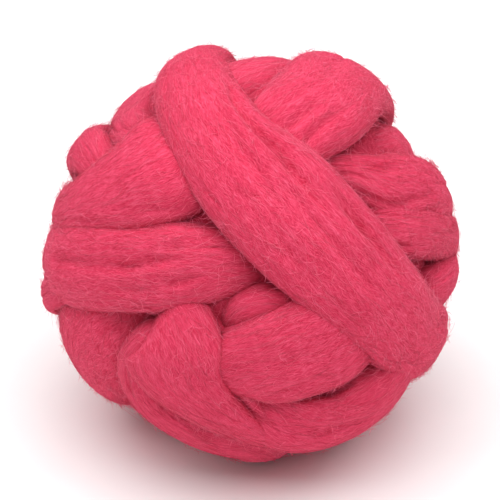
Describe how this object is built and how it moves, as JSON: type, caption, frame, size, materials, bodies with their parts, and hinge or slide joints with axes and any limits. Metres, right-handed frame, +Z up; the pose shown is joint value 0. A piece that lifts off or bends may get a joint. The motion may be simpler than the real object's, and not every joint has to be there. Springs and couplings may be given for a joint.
{
  "type": "ball of wool roving",
  "caption": "Soft round ball of thick unspun wool roving, one broad turn crossing the other wound turns on its face, resting on a small flat foot.",
  "frame": {"origin": "middle of the box's bottom, which is the middle of the ball's flat foot on the surface it rests on", "axes": "+Z up; -Y towards the face with the broad crossing turn, which is seen from about 30 degrees above; +X to the right in that view"},
  "size_m": [0.1634, 0.1658, 0.1552],
  "materials": {
    "roving": "matt combed wool, softly fuzzy"
  },
  "bodies": {
    "root": {"wound_roving": "roving"}
  },
  "joints": []
}
